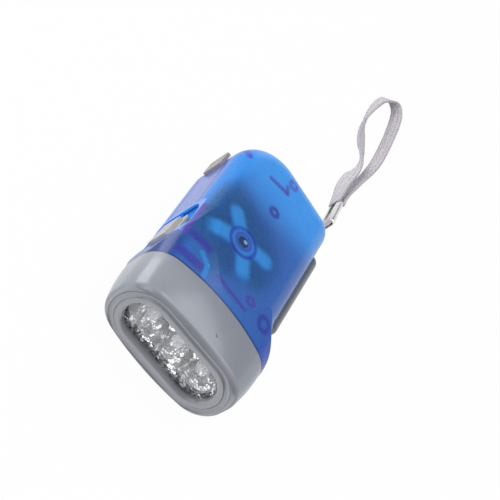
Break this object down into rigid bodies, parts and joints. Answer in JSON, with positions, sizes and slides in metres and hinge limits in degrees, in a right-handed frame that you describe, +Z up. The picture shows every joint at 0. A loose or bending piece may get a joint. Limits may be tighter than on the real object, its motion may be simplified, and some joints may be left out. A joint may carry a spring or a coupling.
{
  "type": "squeeze dynamo flashlight",
  "caption": "Hand-squeezed dynamo torch: clear tinted half-shell body, grey head and lever, gear train and generator inside, lamp slider, lever lock and wrist strap.",
  "frame": {"origin": "under the middle of the torch body, on the surface that it lies on, the strap not counted", "axes": "+X along the beam, +Y towards the squeeze lever, +Z up through the side face that shows on top"},
  "size_m": [0.2305, 0.0585, 0.033],
  "materials": {
    "blue_shell": "clear tinted moulding, glossy",
    "grey_grip": "satin moulded grip",
    "clear_lens": "clear polished window",
    "mirror_plating": "bright vacuum plating",
    "circuit_board": "white solder mask",
    "clear_epoxy": "clear cast epoxy",
    "gear_plastic": "natural acetal",
    "steel": "plain bright steel",
    "ferrite": "sintered, ground",
    "dark_metal": "blackened",
    "copper_wire": "enamelled winding wire",
    "blue_bracket": "glossy moulding",
    "dark_plastic": "plain moulding",
    "slider_grey": "satin moulding",
    "black_plastic": "plain moulding",
    "webbing": "woven polyester tape",
    "bright_steel": "plated sheet steel"
  },
  "bodies": {
    "case": {"upper_shell": "blue_shell", "lower_shell": "blue_shell", "head_bezel": "grey_grip", "lens_window": "clear_lens", "reflector": "mirror_plating", "lamp_board": "circuit_board", "charge_board": "circuit_board", "led_lamps": "clear_epoxy", "drive_axle": "steel", "idler_axle": "steel", "lever_pin": "steel", "lever_spring": "steel", "case_screws": "steel", "cell_tabs": "steel", "coin_cells": "steel", "stator_lower": "steel", "stator_upper": "steel", "coil_bobbin": "gear_plastic", "coil_winding": "copper_wire", "bearing_spider": "blue_bracket", "gear_bridge": "dark_plastic", "cell_sleeve": "dark_plastic", "lamp_switch": "black_plastic", "diode_bridge": "black_plastic", "capacitor": "black_plastic", "wrist_strap": "webbing", "strap_tail": "webbing", "strap_crimp": "bright_steel"},
    "lever": {"squeeze_lever": "grey_grip"},
    "drive_pinion": {"drive_pinion": "gear_plastic"},
    "drive_gear": {"drive_gear": "gear_plastic", "ratchet_pawls": "gear_plastic"},
    "idler_gear": {"idler_gear": "gear_plastic"},
    "rotor": {"rotor_shaft": "steel", "rotor_pinion": "gear_plastic", "rotor_magnet": "ferrite", "flywheel": "dark_metal"},
    "lamp_slider": {"lamp_slider": "slider_grey", "switch_knob": "black_plastic"},
    "lock_slide": {"lock_slide": "slider_grey"}
  },
  "joints": [
    {"name": "lever_hinge", "type": "hinge", "parent": "case", "child": "lever", "pos_m": [0.0195, 0.015, 0.0165], "axis": [0, 0, -1], "range_deg": [0, 18]},
    {"name": "drive_pinion_spin", "type": "hinge", "parent": "case", "child": "drive_pinion", "pos_m": [-0.02286, -0.00395, 0.01], "axis": [0, 0, 1], "range_deg": [0, 190.8]},
    {"name": "rotor_spin", "type": "hinge", "parent": "case", "child": "rotor", "pos_m": [0, -0.0058, 0.0165], "axis": [0, 0, 1], "continuous": true},
    {"name": "idler_gear_spin", "type": "hinge", "parent": "case", "child": "idler_gear", "pos_m": [-0.00957, 0.00496, 0.006], "axis": [0, 0, 1], "continuous": true},
    {"name": "drive_gear_spin", "type": "hinge", "parent": "case", "child": "drive_gear", "pos_m": [-0.02286, -0.00395, 0.005], "axis": [0, 0, 1], "continuous": true},
    {"name": "lamp_slider_slide", "type": "slide", "parent": "case", "child": "lamp_slider", "axis": [-1, 0, 0], "range_m": [0, 0.003]},
    {"name": "lock_slide_slide", "type": "slide", "parent": "case", "child": "lock_slide", "axis": [-1, 0, 0], "range_m": [0, 0.0025]}
  ],
  "couplings": [
    {"joint": "drive_pinion_spin", "follows": "lever_hinge", "ratio": 10.6},
    {"joint": "idler_gear_spin", "follows": "rotor_spin", "ratio": -0.38462},
    {"joint": "drive_gear_spin", "follows": "rotor_spin", "ratio": 0.12821}
  ]
}
